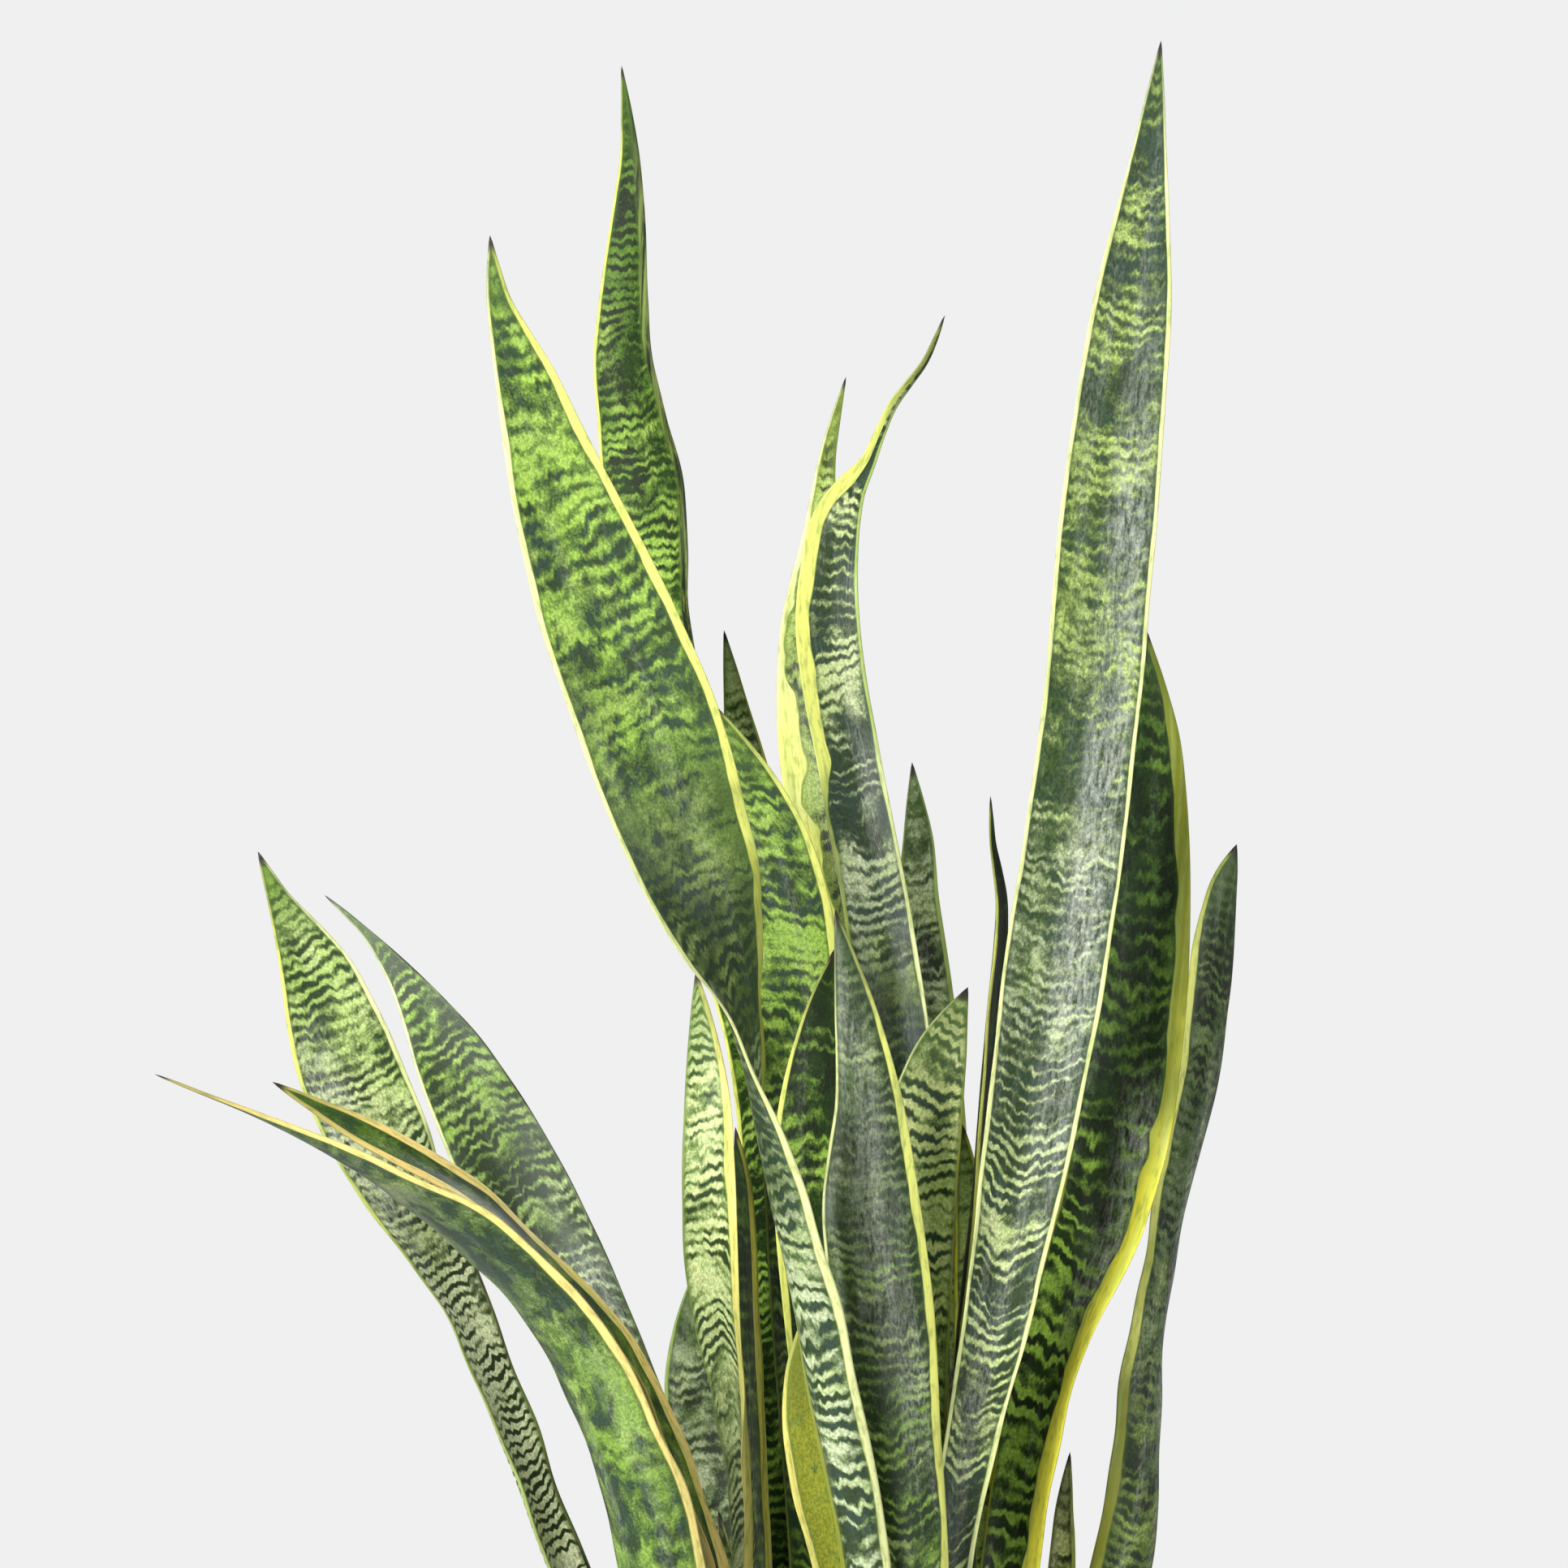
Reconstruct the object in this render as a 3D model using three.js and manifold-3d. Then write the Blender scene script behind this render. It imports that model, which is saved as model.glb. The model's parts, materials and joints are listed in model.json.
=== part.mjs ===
// Potted snake plant: a clump of 25 upright, strap-like leaves with pale margins, growing from
// short buried rhizomes in a round clay pot of soil. Millimetres, +Z up. The origin is the centre
// of the pot's flat underside, and -Y is the side that the clump is seen from.

import * as THREE from "three";
import { mergeVertices } from "three/addons/utils/BufferGeometryUtils.js";
import Module from "manifold-3d";

const wasm = await Module();
wasm.setup();

// ---------- driving dimensions ----------

const GAP = 0.5; // clear space kept between neighbouring solids

const POT = {
  height: 270,
  footRadius: 118,
  rimRadius: 158,
  rimHeight: 26, // the thickened band at the mouth
  rimProud: 6, // how far the band stands out of the wall
  wall: 8,
  floor: 10,
  holes: 5, // drainage holes in a ring, with whole material at the centre
  holeRadius: 7,
  holeRing: 62,
  holeSides: 16,
  lip: 3, // chamfer on the mouth's two edges
  edge: 4, // chamfer at the foot and below the rim band
  cove: 6, // slope between the wall and the floor, inside
  sides: 56,
};

const SOIL = { top: 240, crown: 5, edge: 2, sides: 40 };

const LEAF = {
  baseThickness: 6.5, // at the middle of the channel, where the leaf leaves its rhizome
  bladeThickness: 3.4, // at the middle of the blade, half way up
  baseCup: 0.3, // channel depth as a fraction of the width, at the base
  bladeCup: 0.09, // and over the upper blade
  ringsPerStation: 2,
  thinnest: 1.2, // thickness where the width runs out, at the tip
  thicknessPerWidth: 0.12, // and how fast the blade may thicken as it widens
  thinnedBy: 0.5, // share of the length over which the base thins to the blade
  flattenedBy: 0.55, // share of the length over which the channel flattens
};

const FOOT = 206; // height at which every leaf leaves its rhizome

const RHIZOME = { radius: 10.5, sides: 12, topClearance: 1.5 };

const COLOUR = {
  leaf: 0x4d6a3c,
  pot: 0xb9b2a6,
  soil: 0x3a2c21,
  rhizome: 0xc08a4e,
};

// ---------- the leaves ----------
// Each row is a station on a leaf, from its base to its tip: x, y, z of the middle line, then the
// turn of the blade in degrees and its width. At turn 0 the channelled inner face looks to -Y;
// a positive turn swings it towards +X, and at 180 the outer face looks to -Y.

const LEAVES = {
  leaf_right_tall: [
    [36, -32, FOOT, 18, 24], [50, -42, 394, 18, 26], [70, -50, 496, 14, 35], [88, -60, 598, 10, 47],
    [103, -68, 695, 8, 54], [119, -80, 811, 8, 51], [129, -94, 927, 6, 50],
    [140, -112, 1032, 4, 39], [147, -126, 1100, 2, 18], [152, -140, 1155, 0, 1.6],
  ],
  leaf_left_tall: [
    [18, -86, FOOT, 165, 23], [3, -98, 388, 160, 27], [-10, -108, 454, 153, 30],
    [-26, -122, 529, 136, 32], [-47, -140, 608, 104, 40], [-61, -158, 674, 68, 52],
    [-80, -176, 739, 30, 66], [-102, -192, 810, 12, 70], [-125, -205, 871, 8, 64],
    [-145, -214, 927, 6, 48], [-161, -221, 980, 4, 29], [-173, -225, 1016, 2, 12],
    [-177, -230, 1047, 0, 1.6],
  ],
  leaf_back_tall: [
    [-27, 68, FOOT, -10, 24], [-35, 70, 357, -10, 29], [-38, 74, 503, -10, 34],
    [-47, 80, 636, -10, 37], [-70, 86, 724, -10, 43], [-94, 92, 800, -15, 46],
    [-109, 98, 876, -22, 50], [-112, 106, 948, -25, 50], [-124, 114, 1016, -25, 37],
    [-123, 122, 1085, -20, 24], [-122, 128, 1135, -10, 11], [-127, 134, 1186, 0, 1.6],
  ],
  leaf_back_tip: [
    [-22, 92, FOOT, 0, 23], [-25, 104, 351, 0, 27], [-33, 116, 543, 0, 31], [-44, 132, 701, 0, 33],
    [-55, 142, 778, 0, 28], [-63, 150, 828, -5, 14], [-70, 156, 871, 0, 1.6],
  ],
  leaf_behind_broad: [
    [-15, 28, FOOT, 0, 23], [-20, 22, 379, 0, 28], [-26, 14, 510, 2, 36], [-28, 4, 627, 4, 44],
    [-32, -4, 705, 4, 46], [-43, -8, 752, 2, 41], [-57, -10, 789, 0, 27], [-73, -12, 826, 0, 1.6],
  ],
  leaf_centre_short: [
    [2, -8, FOOT, 0, 22], [-7, -16, 385, 0, 30], [-16, -26, 514, 0, 42], [-20, -32, 587, 0, 44],
    [-18, -36, 630, 0, 36], [-15, -38, 666, 0, 20], [-10, -40, 698, 0, 1.6],
  ],
  leaf_front_centre: [
    [34, -70, FOOT, 178, 30], [27, -76, 382, 178, 43], [20, -80, 446, 178, 49],
    [14, -84, 513, 176, 53], [8, -86, 571, 175, 50], [7, -87, 621, 175, 35], [0, -87, 670, 178, 21],
    [-10, -86, 720, 180, 1.6],
  ],
  leaf_centre_curl: [
    [44, 2, FOOT, 0, 23], [38, -2, 383, 0, 28], [33, -6, 555, -2, 33], [23, -8, 654, -4, 36],
    [11, -10, 731, -6, 35], [-3, -12, 804, -6, 34], [-13, -12, 868, -2, 34], [-7, -10, 928, 4, 24],
    [8, -9, 954, 10, 9], [21, -8, 984, 30, 6], [38, -7, 1007, 50, 5], [49, -6, 1032, 30, 1.6],
  ],
  leaf_centre_gold: [
    [29, 44, FOOT, -4, 23], [22, 46, 375, -4, 27], [12, 50, 550, -4, 32], [-1, 58, 690, -6, 34],
    [-17, 64, 769, -10, 34], [-24, 68, 822, -10, 32], [-24, 72, 871, -6, 27],
    [-17, 78, 920, -2, 18], [-12, 84, 965, 0, 9], [-2, 90, 1008, 0, 1.6],
  ],
  leaf_right_of_centre: [
    [30, -14, FOOT, -6, 21], [34, -27, 374, -6, 27], [33, -32, 473, -6, 34], [34, -34, 549, -6, 39],
    [38, -34, 609, -6, 39], [47, -34, 647, -4, 26], [60, -34, 678, 0, 1.6],
  ],
  leaf_right_dark: [
    [62, 50, FOOT, 0, 22], [54, 54, 417, 0, 27], [48, 62, 593, 0, 30], [42, 68, 672, 4, 27],
    [37, 72, 725, 6, 22], [37, 75, 753, 8, 17], [34, 80, 796, 0, 1.6],
  ],
  leaf_right_sliver: [
    [73, 33, FOOT, 10, 20], [66, 24, 400, 10, 23], [63, 16, 527, 10, 18], [61, 14, 579, 8, 11],
    [59, 13, 603, 5, 1.6],
  ],
  leaf_right_edgewise: [
    [64, -12, FOOT, 70, 21], [55, -10, 427, 70, 25], [57, -14, 492, 70, 26], [65, -18, 565, 70, 26],
    [70, -22, 633, 70, 24], [75, -25, 684, 68, 21], [77, -27, 723, 65, 14], [73, -28, 753, 50, 5],
    [72, -28, 778, 30, 1.6],
  ],
  leaf_right_second: [
    [62, 14, FOOT, -14, 24], [90, 4, 382, -34, 36], [104, 2, 460, -44, 44], [118, 0, 507, -42, 48],
    [135, -4, 555, -32, 52], [146, -8, 619, -14, 52], [152, -10, 684, -8, 51],
    [157, -10, 748, -4, 42], [160, -6, 808, -2, 26], [156, 2, 866, 0, 1.6],
  ],
  leaf_far_right: [
    [104, 34, FOOT, -150, 25], [121, 33, 290, -151, 30], [150, 36, 362, -152, 38],
    [159, 42, 428, -135, 39], [164, 50, 479, -122, 41], [175, 58, 544, -118, 43],
    [187, 66, 597, -122, 47], [197, 74, 645, -125, 48], [202, 82, 693, -128, 41],
    [207, 88, 729, -140, 21], [213, 92, 751, -150, 1.6],
  ],
  leaf_right_pup: [
    [98, 62, FOOT, -10, 18], [115, 60, 358, -10, 15], [116, 58, 390, -8, 10], [119, 56, 422, 0, 1.6],
  ],
  leaf_left_narrow: [
    [-50, -6, FOOT, -70, 22], [-54, -14, 372, -76, 28], [-56, -18, 428, -72, 31],
    [-63, -22, 471, -56, 34], [-70, -26, 514, -40, 35], [-74, -30, 566, -30, 33],
    [-75, -33, 613, -20, 27], [-78, -35, 651, -12, 16], [-82, -37, 687, 0, 1.6],
  ],
  leaf_left_behind: [
    [-58, 45, FOOT, -5, 22], [-68, 38, 362, -5, 29], [-81, 34, 425, -5, 31], [-85, 30, 464, -5, 30],
    [-83, 27, 500, -5, 20], [-80, 25, 532, 0, 1.6],
  ],
  leaf_left_pup: [
    [-60, 10, FOOT, 0, 14], [-64, 9, 359, 0, 10], [-68, 8, 381, 0, 6], [-71, 7, 398, 0, 1.6],
  ],
  leaf_left_mid: [
    [-39, 26, FOOT, -62, 22], [-46, 20, 365, -62, 28], [-51, 14, 458, -62, 29],
    [-55, 10, 528, -60, 28], [-57, 8, 571, -55, 16], [-62, 6, 602, -40, 1.6],
  ],
  leaf_centre_gold_short: [
    [-6, -60, FOOT, 10, 19], [-10, -58, 379, 10, 24], [-19, -62, 418, 10, 27],
    [-24, -64, 456, 8, 27], [-26, -66, 485, 5, 18], [-24, -68, 515, 0, 1.6],
  ],
  leaf_left_inner: [
    [-72, 64, FOOT, -10, 24], [-87, 66, 357, -12, 34], [-107, 72, 415, -12, 42],
    [-130, 80, 465, -10, 48], [-152, 88, 507, -8, 53], [-175, 96, 551, -6, 55],
    [-197, 104, 589, -5, 53], [-221, 112, 633, -5, 41], [-248, 120, 676, -5, 17],
    [-270, 126, 702, -5, 5], [-293, 132, 722, -5, 1.6],
  ],
  leaf_far_left: [
    [-104, 16, FOOT, 50, 23], [-124, 14, 290, 54, 27], [-156, 10, 367, 58, 31],
    [-173, 4, 414, 62, 34], [-190, -2, 462, 63, 38], [-209, -8, 510, 60, 42],
    [-230, -14, 554, 48, 49], [-250, -20, 597, 28, 55], [-267, -26, 641, 16, 54],
    [-281, -32, 685, 12, 39], [-300, -38, 725, 8, 12], [-310, -42, 749, 0, 1.6],
  ],
  leaf_arching_low: [
    [-73, -62, FOOT, 155, 31], [-108, -80, 392, 150, 53], [-122, -90, 441, 144, 51],
    [-140, -102, 486, 140, 49], [-167, -114, 528, 136, 46], [-198, -124, 559, 130, 42],
    [-234, -132, 584, 122, 32], [-266, -138, 603, 115, 19], [-301, -144, 620, 110, 8],
    [-325, -147, 630, 105, 4], [-349, -150, 640, 100, 1.6],
  ],
  leaf_arching_folded: [
    [-58, -38, FOOT, 80, 23], [-77, -50, 377, 80, 31], [-101, -62, 447, 80, 34],
    [-122, -74, 495, 80, 33], [-148, -84, 527, 82, 31], [-187, -96, 568, 74, 28],
    [-220, -104, 591, 62, 25], [-250, -110, 608, 48, 19], [-274, -114, 622, 42, 9],
    [-294, -118, 634, 30, 1.6],
  ],};

// Buried stems, each from one point to another, that groups of leaves grow from.
const RHIZOMES = {
  rhizome_front: [[-72, -64], [36, -80]],
  rhizome_left_front: [[-60, -38], [68, -26]],
  rhizome_middle: [[-102, 14], [74, 8]],
  rhizome_back: [[-74, 62], [100, 46]],
  rhizome_rear: [[-38, 96], [4, 91]],
};

// ---------- geometry helpers ----------

function closedBody(geometry) {
  const bare = geometry.index ? geometry.toNonIndexed() : geometry.clone();
  for (const name of Object.keys(bare.attributes)) {
    if (name !== "position") bare.deleteAttribute(name);
  }
  return mergeVertices(bare, 1e-4);
}

function toSolid(geometry) {
  const merged = closedBody(geometry);
  return new wasm.Manifold(
    new wasm.Mesh({
      numProp: 3,
      vertProperties: new Float32Array(merged.attributes.position.array),
      triVerts: new Uint32Array(merged.index.array),
    }),
  );
}

function fromSolid(solid) {
  const mesh = solid.getMesh();
  const geometry = new THREE.BufferGeometry();
  geometry.setAttribute("position", new THREE.BufferAttribute(mesh.vertProperties, 3));
  geometry.setIndex(new THREE.BufferAttribute(mesh.triVerts, 1));
  geometry.computeVertexNormals();
  return geometry;
}

// A LatheGeometry turns about Y; the pot's axis is Z.
function turned(profile, sides) {
  const points = profile.map(([radius, height]) => new THREE.Vector2(radius, height));
  const geometry = new THREE.LatheGeometry(points, sides);
  geometry.rotateX(Math.PI / 2);
  return geometry;
}

// ---------- leaf geometry ----------

// The blade's section is a loop of eight points: each margin is one point, with three points on the
// inner face and three on the outer. Across runs from -1 to 1, and side is +1 on the inner face.
const SECTION = [
  { across: 1, side: 0 },
  { across: 0.52, side: 0.86 },
  { across: 0, side: 1 },
  { across: -0.52, side: 0.86 },
  { across: -1, side: 0 },
  { across: -0.52, side: -0.86 },
  { across: 0, side: -1 },
  { across: 0.52, side: -0.86 },
];

// The triangles that close the section at the base, from margin to margin.
const SECTION_CAP = [0, 1, 7, 1, 2, 6, 1, 6, 7, 2, 3, 5, 2, 5, 6, 3, 4, 5];

const TOWARDS_FRONT = new THREE.Vector3(0, -1, 0);
const BELOW_BASE = 5; // how many clearances a leaf's pocket goes on below its base

const SHARPEST_MITRE = 0.3; // cosine at which a grown corner stops reaching further out

// A loop of 2-D points, anticlockwise, grown outwards by a distance at its edges.
function grown(loop, distance) {
  const outward = (from, to) => new THREE.Vector2(to.y - from.y, from.x - to.x).normalize();
  return loop.map((point, i) => {
    const before = outward(loop.at(i - 1), point);
    const after = outward(point, loop[(i + 1) % loop.length]);
    const corner = before.clone().add(after).normalize();
    const reach = distance / Math.max(SHARPEST_MITRE, corner.dot(before));
    return point.clone().addScaledVector(corner, reach);
  });
}

// The section's loop at places up the leaf, and the tip. With a clearance the loops are grown by it
// and begin a little below the base.
function leafRings(stations, clearance) {
  const last = stations.length - 1;
  const spine = new THREE.CatmullRomCurve3(stations.map(([x, y, z]) => new THREE.Vector3(x, y, z)));
  const blade = new THREE.CatmullRomCurve3(
    stations.map(([, , , turn, width], i) => new THREE.Vector3(turn, width, (100 * i) / last)),
  );
  const count = last * LEAF.ringsPerStation;
  const rings = [];
  for (let i = 0; i < count; i++) {
    const t = i / count;
    const centre = spine.getPoint(t);
    const along = spine.getTangent(t);
    const { x: turnDegrees, y: width } = blade.getPoint(t);
    const turn = THREE.MathUtils.degToRad(turnDegrees);
    const front = TOWARDS_FRONT.clone().addScaledVector(along, -TOWARDS_FRONT.dot(along)).normalize();
    const right = along.clone().cross(front);
    const inner = front.clone().multiplyScalar(Math.cos(turn)).addScaledVector(right, Math.sin(turn));
    const across = along.clone().cross(inner);
    const flattened = Math.min(1, t / LEAF.flattenedBy);
    const thinned = Math.min(1, t / LEAF.thinnedBy);
    const cup = THREE.MathUtils.lerp(LEAF.baseCup, LEAF.bladeCup, flattened);
    const thick = Math.min(
      THREE.MathUtils.lerp(LEAF.baseThickness, LEAF.bladeThickness, thinned),
      LEAF.thinnest + width * LEAF.thicknessPerWidth,
    );
    const section = SECTION.map(({ across: u, side }) =>
      new THREE.Vector2((u * width) / 2, cup * width * u ** 2 + (side * thick) / 2),
    );
    rings.push(
      grown(section, clearance).map(({ x, y }) =>
        centre.clone().addScaledVector(across, x).addScaledVector(inner, y),
      ),
    );
  }
  if (clearance > 0) {
    const below = spine.getTangent(0).multiplyScalar(-BELOW_BASE * clearance);
    rings.unshift(rings[0].map((point) => point.clone().add(below)));
  }
  return { rings, tip: spine.getPoint(1) };
}

function leafGeometry(stations, clearance = 0) {
  const { rings, tip } = leafRings(stations, clearance);
  const sides = SECTION.length;
  const points = rings.flat();
  const tipIndex = points.push(tip) - 1;
  const index = [...SECTION_CAP];
  for (let side = 0; side < sides; side++) {
    const next = (side + 1) % sides;
    for (let ring = 0; ring < rings.length - 1; ring++) {
      const low = ring * sides;
      const high = low + sides;
      // The two faces are split along matching diagonals, so a twisted blade keeps its thickness.
      if (side < sides / 2) {
        index.push(low + side, high + next, low + next);
        index.push(low + side, high + side, high + next);
      } else {
        index.push(low + side, high + side, low + next);
        index.push(high + side, high + next, low + next);
      }
    }
    const top = (rings.length - 1) * sides;
    index.push(top + side, tipIndex, top + next);
  }
  const numbers = points.flatMap((point) => point.toArray());
  const geometry = new THREE.BufferGeometry();
  geometry.setAttribute("position", new THREE.Float32BufferAttribute(numbers, 3));
  geometry.setIndex(index);
  geometry.computeVertexNormals();
  return geometry;
}

// ---------- pot, soil and rhizomes ----------

// The wall's outer radius at a height, below the rim band.
function wallRadius(height) {
  return THREE.MathUtils.lerp(POT.footRadius, POT.rimRadius - POT.rimProud, height / POT.height);
}

function potGeometry() {
  const bandFoot = POT.height - POT.rimHeight;
  const inside = (height) => wallRadius(height) - POT.wall;
  const { lip, edge, cove } = POT;
  const profile = [
    [0, 0],
    [POT.footRadius - edge, 0],
    [POT.footRadius, edge],
    [wallRadius(bandFoot - edge), bandFoot - edge],
    [POT.rimRadius - edge / 4, bandFoot],
    [POT.rimRadius, bandFoot + edge],
    [POT.rimRadius, POT.height - lip],
    [POT.rimRadius - lip, POT.height],
    [inside(POT.height) + lip, POT.height],
    [inside(POT.height), POT.height - lip],
    [inside(POT.floor + cove), POT.floor + cove],
    [inside(POT.floor) - cove, POT.floor],
    [0, POT.floor],
  ];
  let pot = toSolid(turned(profile, POT.sides));
  for (let i = 0; i < POT.holes; i++) {
    const angle = (2 * Math.PI * i) / POT.holes;
    const drill = new THREE.CylinderGeometry(POT.holeRadius, POT.holeRadius, 4 * POT.floor, POT.holeSides);
    drill.rotateX(Math.PI / 2);
    drill.translate(POT.holeRing * Math.cos(angle), POT.holeRing * Math.sin(angle), 0);
    pot = pot.subtract(toSolid(drill));
  }
  return fromSolid(pot);
}

const RHIZOME_AXIS_Z = FOOT - RHIZOME.topClearance - RHIZOME.radius;

// A rhizome's blunt end, as shares of its radius: how wide it is, and how far past the end point.
const BLUNT_END = [[0, 0.5], [0.6, 0.3], [0.9, 0], [1, -1]];

function rhizomeGeometry([[x0, y0], [x1, y1]], clearance = 0) {
  const start = new THREE.Vector3(x0, y0, RHIZOME_AXIS_Z);
  const end = new THREE.Vector3(x1, y1, RHIZOME_AXIS_Z);
  const half = start.distanceTo(end) / 2 + clearance;
  const bulb = RHIZOME.radius + clearance;
  const upper = BLUNT_END.map(([wide, past]) => new THREE.Vector2(bulb * wide, half + bulb * past));
  const lower = upper.map(({ x, y }) => new THREE.Vector2(x, -y));
  const geometry = new THREE.LatheGeometry([...lower, ...upper.reverse()], RHIZOME.sides);
  const middle = start.clone().lerp(end, 0.5);
  const direction = end.clone().sub(start).normalize();
  const swing = new THREE.Quaternion().setFromUnitVectors(new THREE.Vector3(0, 1, 0), direction);
  geometry.applyQuaternion(swing);
  geometry.translate(middle.x, middle.y, middle.z);
  return geometry;
}

// The soil fills the pot to below its rim, crowned a little, with a pocket round each leaf base
// and rhizome. The pockets open to the surface along the leaves.
function soilGeometry() {
  const inside = (height) => wallRadius(height) - POT.wall - 2 * GAP;
  const bottom = POT.floor + GAP;
  const cove = POT.cove + 2 * GAP;
  const { top, crown, edge } = SOIL;
  const profile = [
    [0, bottom],
    [inside(bottom) - cove, bottom],
    [inside(bottom + cove), bottom + cove],
    [inside(top - edge), top - edge],
    [inside(top) - edge, top],
    [inside(top) * 0.6, top + crown * 0.8],
    [0, top + crown],
  ];
  let soil = toSolid(turned(profile, SOIL.sides));
  for (const ends of Object.values(RHIZOMES)) {
    soil = soil.subtract(toSolid(rhizomeGeometry(ends, GAP)));
  }
  for (const stations of Object.values(LEAVES)) {
    soil = soil.subtract(toSolid(leafGeometry(stations, GAP)));
  }
  return fromSolid(soil);
}

// ---------- assembly ----------

const matte = (color, roughness) => new THREE.MeshStandardMaterial({ color, roughness, metalness: 0 });

const leafMaterial = matte(COLOUR.leaf, 0.42);
const potMaterial = matte(COLOUR.pot, 0.7);
const soilMaterial = matte(COLOUR.soil, 0.95);
const stemMaterial = matte(COLOUR.rhizome, 0.8);

function part(name, geometry, material) {
  const mesh = new THREE.Mesh(geometry, material);
  mesh.name = name;
  return mesh;
}

const plant = new THREE.Group();
plant.add(part("pot", potGeometry(), potMaterial));
plant.add(part("soil", soilGeometry(), soilMaterial));
for (const [name, ends] of Object.entries(RHIZOMES)) {
  plant.add(part(name, rhizomeGeometry(ends), stemMaterial));
}
for (const [name, stations] of Object.entries(LEAVES)) {
  plant.add(part(name, leafGeometry(stations), leafMaterial));
}

export default plant;
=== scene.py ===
"""Potted snake plant: fine leaves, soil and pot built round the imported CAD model. Metres, +Z up."""

import json
import math

import bmesh
import bpy
import numpy as np
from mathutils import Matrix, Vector


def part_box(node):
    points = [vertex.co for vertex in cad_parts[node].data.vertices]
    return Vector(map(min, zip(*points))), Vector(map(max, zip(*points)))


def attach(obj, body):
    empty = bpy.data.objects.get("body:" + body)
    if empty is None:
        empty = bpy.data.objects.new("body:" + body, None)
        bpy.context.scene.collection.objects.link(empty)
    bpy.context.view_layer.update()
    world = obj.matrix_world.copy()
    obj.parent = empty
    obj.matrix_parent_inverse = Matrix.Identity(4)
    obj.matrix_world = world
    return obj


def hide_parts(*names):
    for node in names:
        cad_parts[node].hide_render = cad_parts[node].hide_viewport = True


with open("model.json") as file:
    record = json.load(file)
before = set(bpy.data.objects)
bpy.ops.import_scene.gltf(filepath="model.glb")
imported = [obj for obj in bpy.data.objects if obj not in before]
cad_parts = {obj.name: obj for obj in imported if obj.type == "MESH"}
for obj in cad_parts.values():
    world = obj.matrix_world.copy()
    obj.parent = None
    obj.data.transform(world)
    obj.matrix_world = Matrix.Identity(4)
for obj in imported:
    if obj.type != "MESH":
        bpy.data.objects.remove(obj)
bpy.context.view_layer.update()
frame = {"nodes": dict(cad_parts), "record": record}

MM = 0.001

# ---------- camera, as the clump is seen in the reference view ----------

CAMERA_PLACE = (-0.0361, -2.4, 0.784)
CAMERA_LENS_MM = 104.0

# ---------- leaf mesh resolution and surface play ----------

LEAF_STEP = 3.0 * MM  # spacing of rows along a leaf
LEAF_COLUMNS = 26  # columns on each face, from margin to margin
EDGE_POWER = 2.4  # how far towards the margins the blade keeps its thickness
RIPPLE = 1.1 * MM  # how far a margin waves in and out of the blade's plane
RIPPLE_LENGTH = 85 * MM

# ---------- pot and soil ----------

POT = dict(
    height=270 * MM, foot_radius=118 * MM, rim_radius=158 * MM, rim_height=26 * MM, rim_proud=6 * MM,
    wall=8 * MM, floor=10 * MM, holes=5, hole_radius=7 * MM, hole_ring=62 * MM,
)
SOIL_EDGE_Z = 240 * MM  # the soil's height where it meets the wall
SOIL_CLODS = 2600
FLOOR_RADIUS = 1.9

# ---------- colours, linear RGB ----------

PALE = (0.52, 0.61, 0.27)
SILVER = (0.46, 0.53, 0.32)
FRESH = (0.20, 0.34, 0.045)
VIVID = (0.27, 0.44, 0.060)
LIME = (0.36, 0.48, 0.12)
LEAFY = (0.085, 0.165, 0.020)
MOSS = (0.15, 0.21, 0.035)
SHADE = (0.060, 0.100, 0.022)
MID = (0.050, 0.100, 0.014)
DEEP = (0.014, 0.032, 0.008)
TEAL = (0.016, 0.040, 0.024)
INK = (0.010, 0.016, 0.008)
SLATE = (0.115, 0.145, 0.080)
# A near-white green, painted light: it lightens leaf_far_left's foot, which stands in shade.
PAINTED_LIGHT_IVORY = (0.84, 0.90, 0.56)
CREAM = (0.76, 0.80, 0.36)
BUTTER = (0.72, 0.75, 0.17)
YELLOW = (0.76, 0.71, 0.06)
STRAW = (0.74, 0.66, 0.18)
HONEY = (0.86, 0.66, 0.22)
OLIVE = (0.24, 0.26, 0.024)
PINE = (0.028, 0.060, 0.014)
FERN = (0.110, 0.165, 0.065)
# A yellow dulled to bronze: painted shade for the gold leaf deep in the clump.
SHADED_GOLD = (0.13, 0.12, 0.012)
# Pale grey-green of painted sheen, laid on the skin where gloss would catch the light.
SHEEN_PAINT = (0.50, 0.54, 0.46)
DRY = (0.030, 0.026, 0.018)
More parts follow.
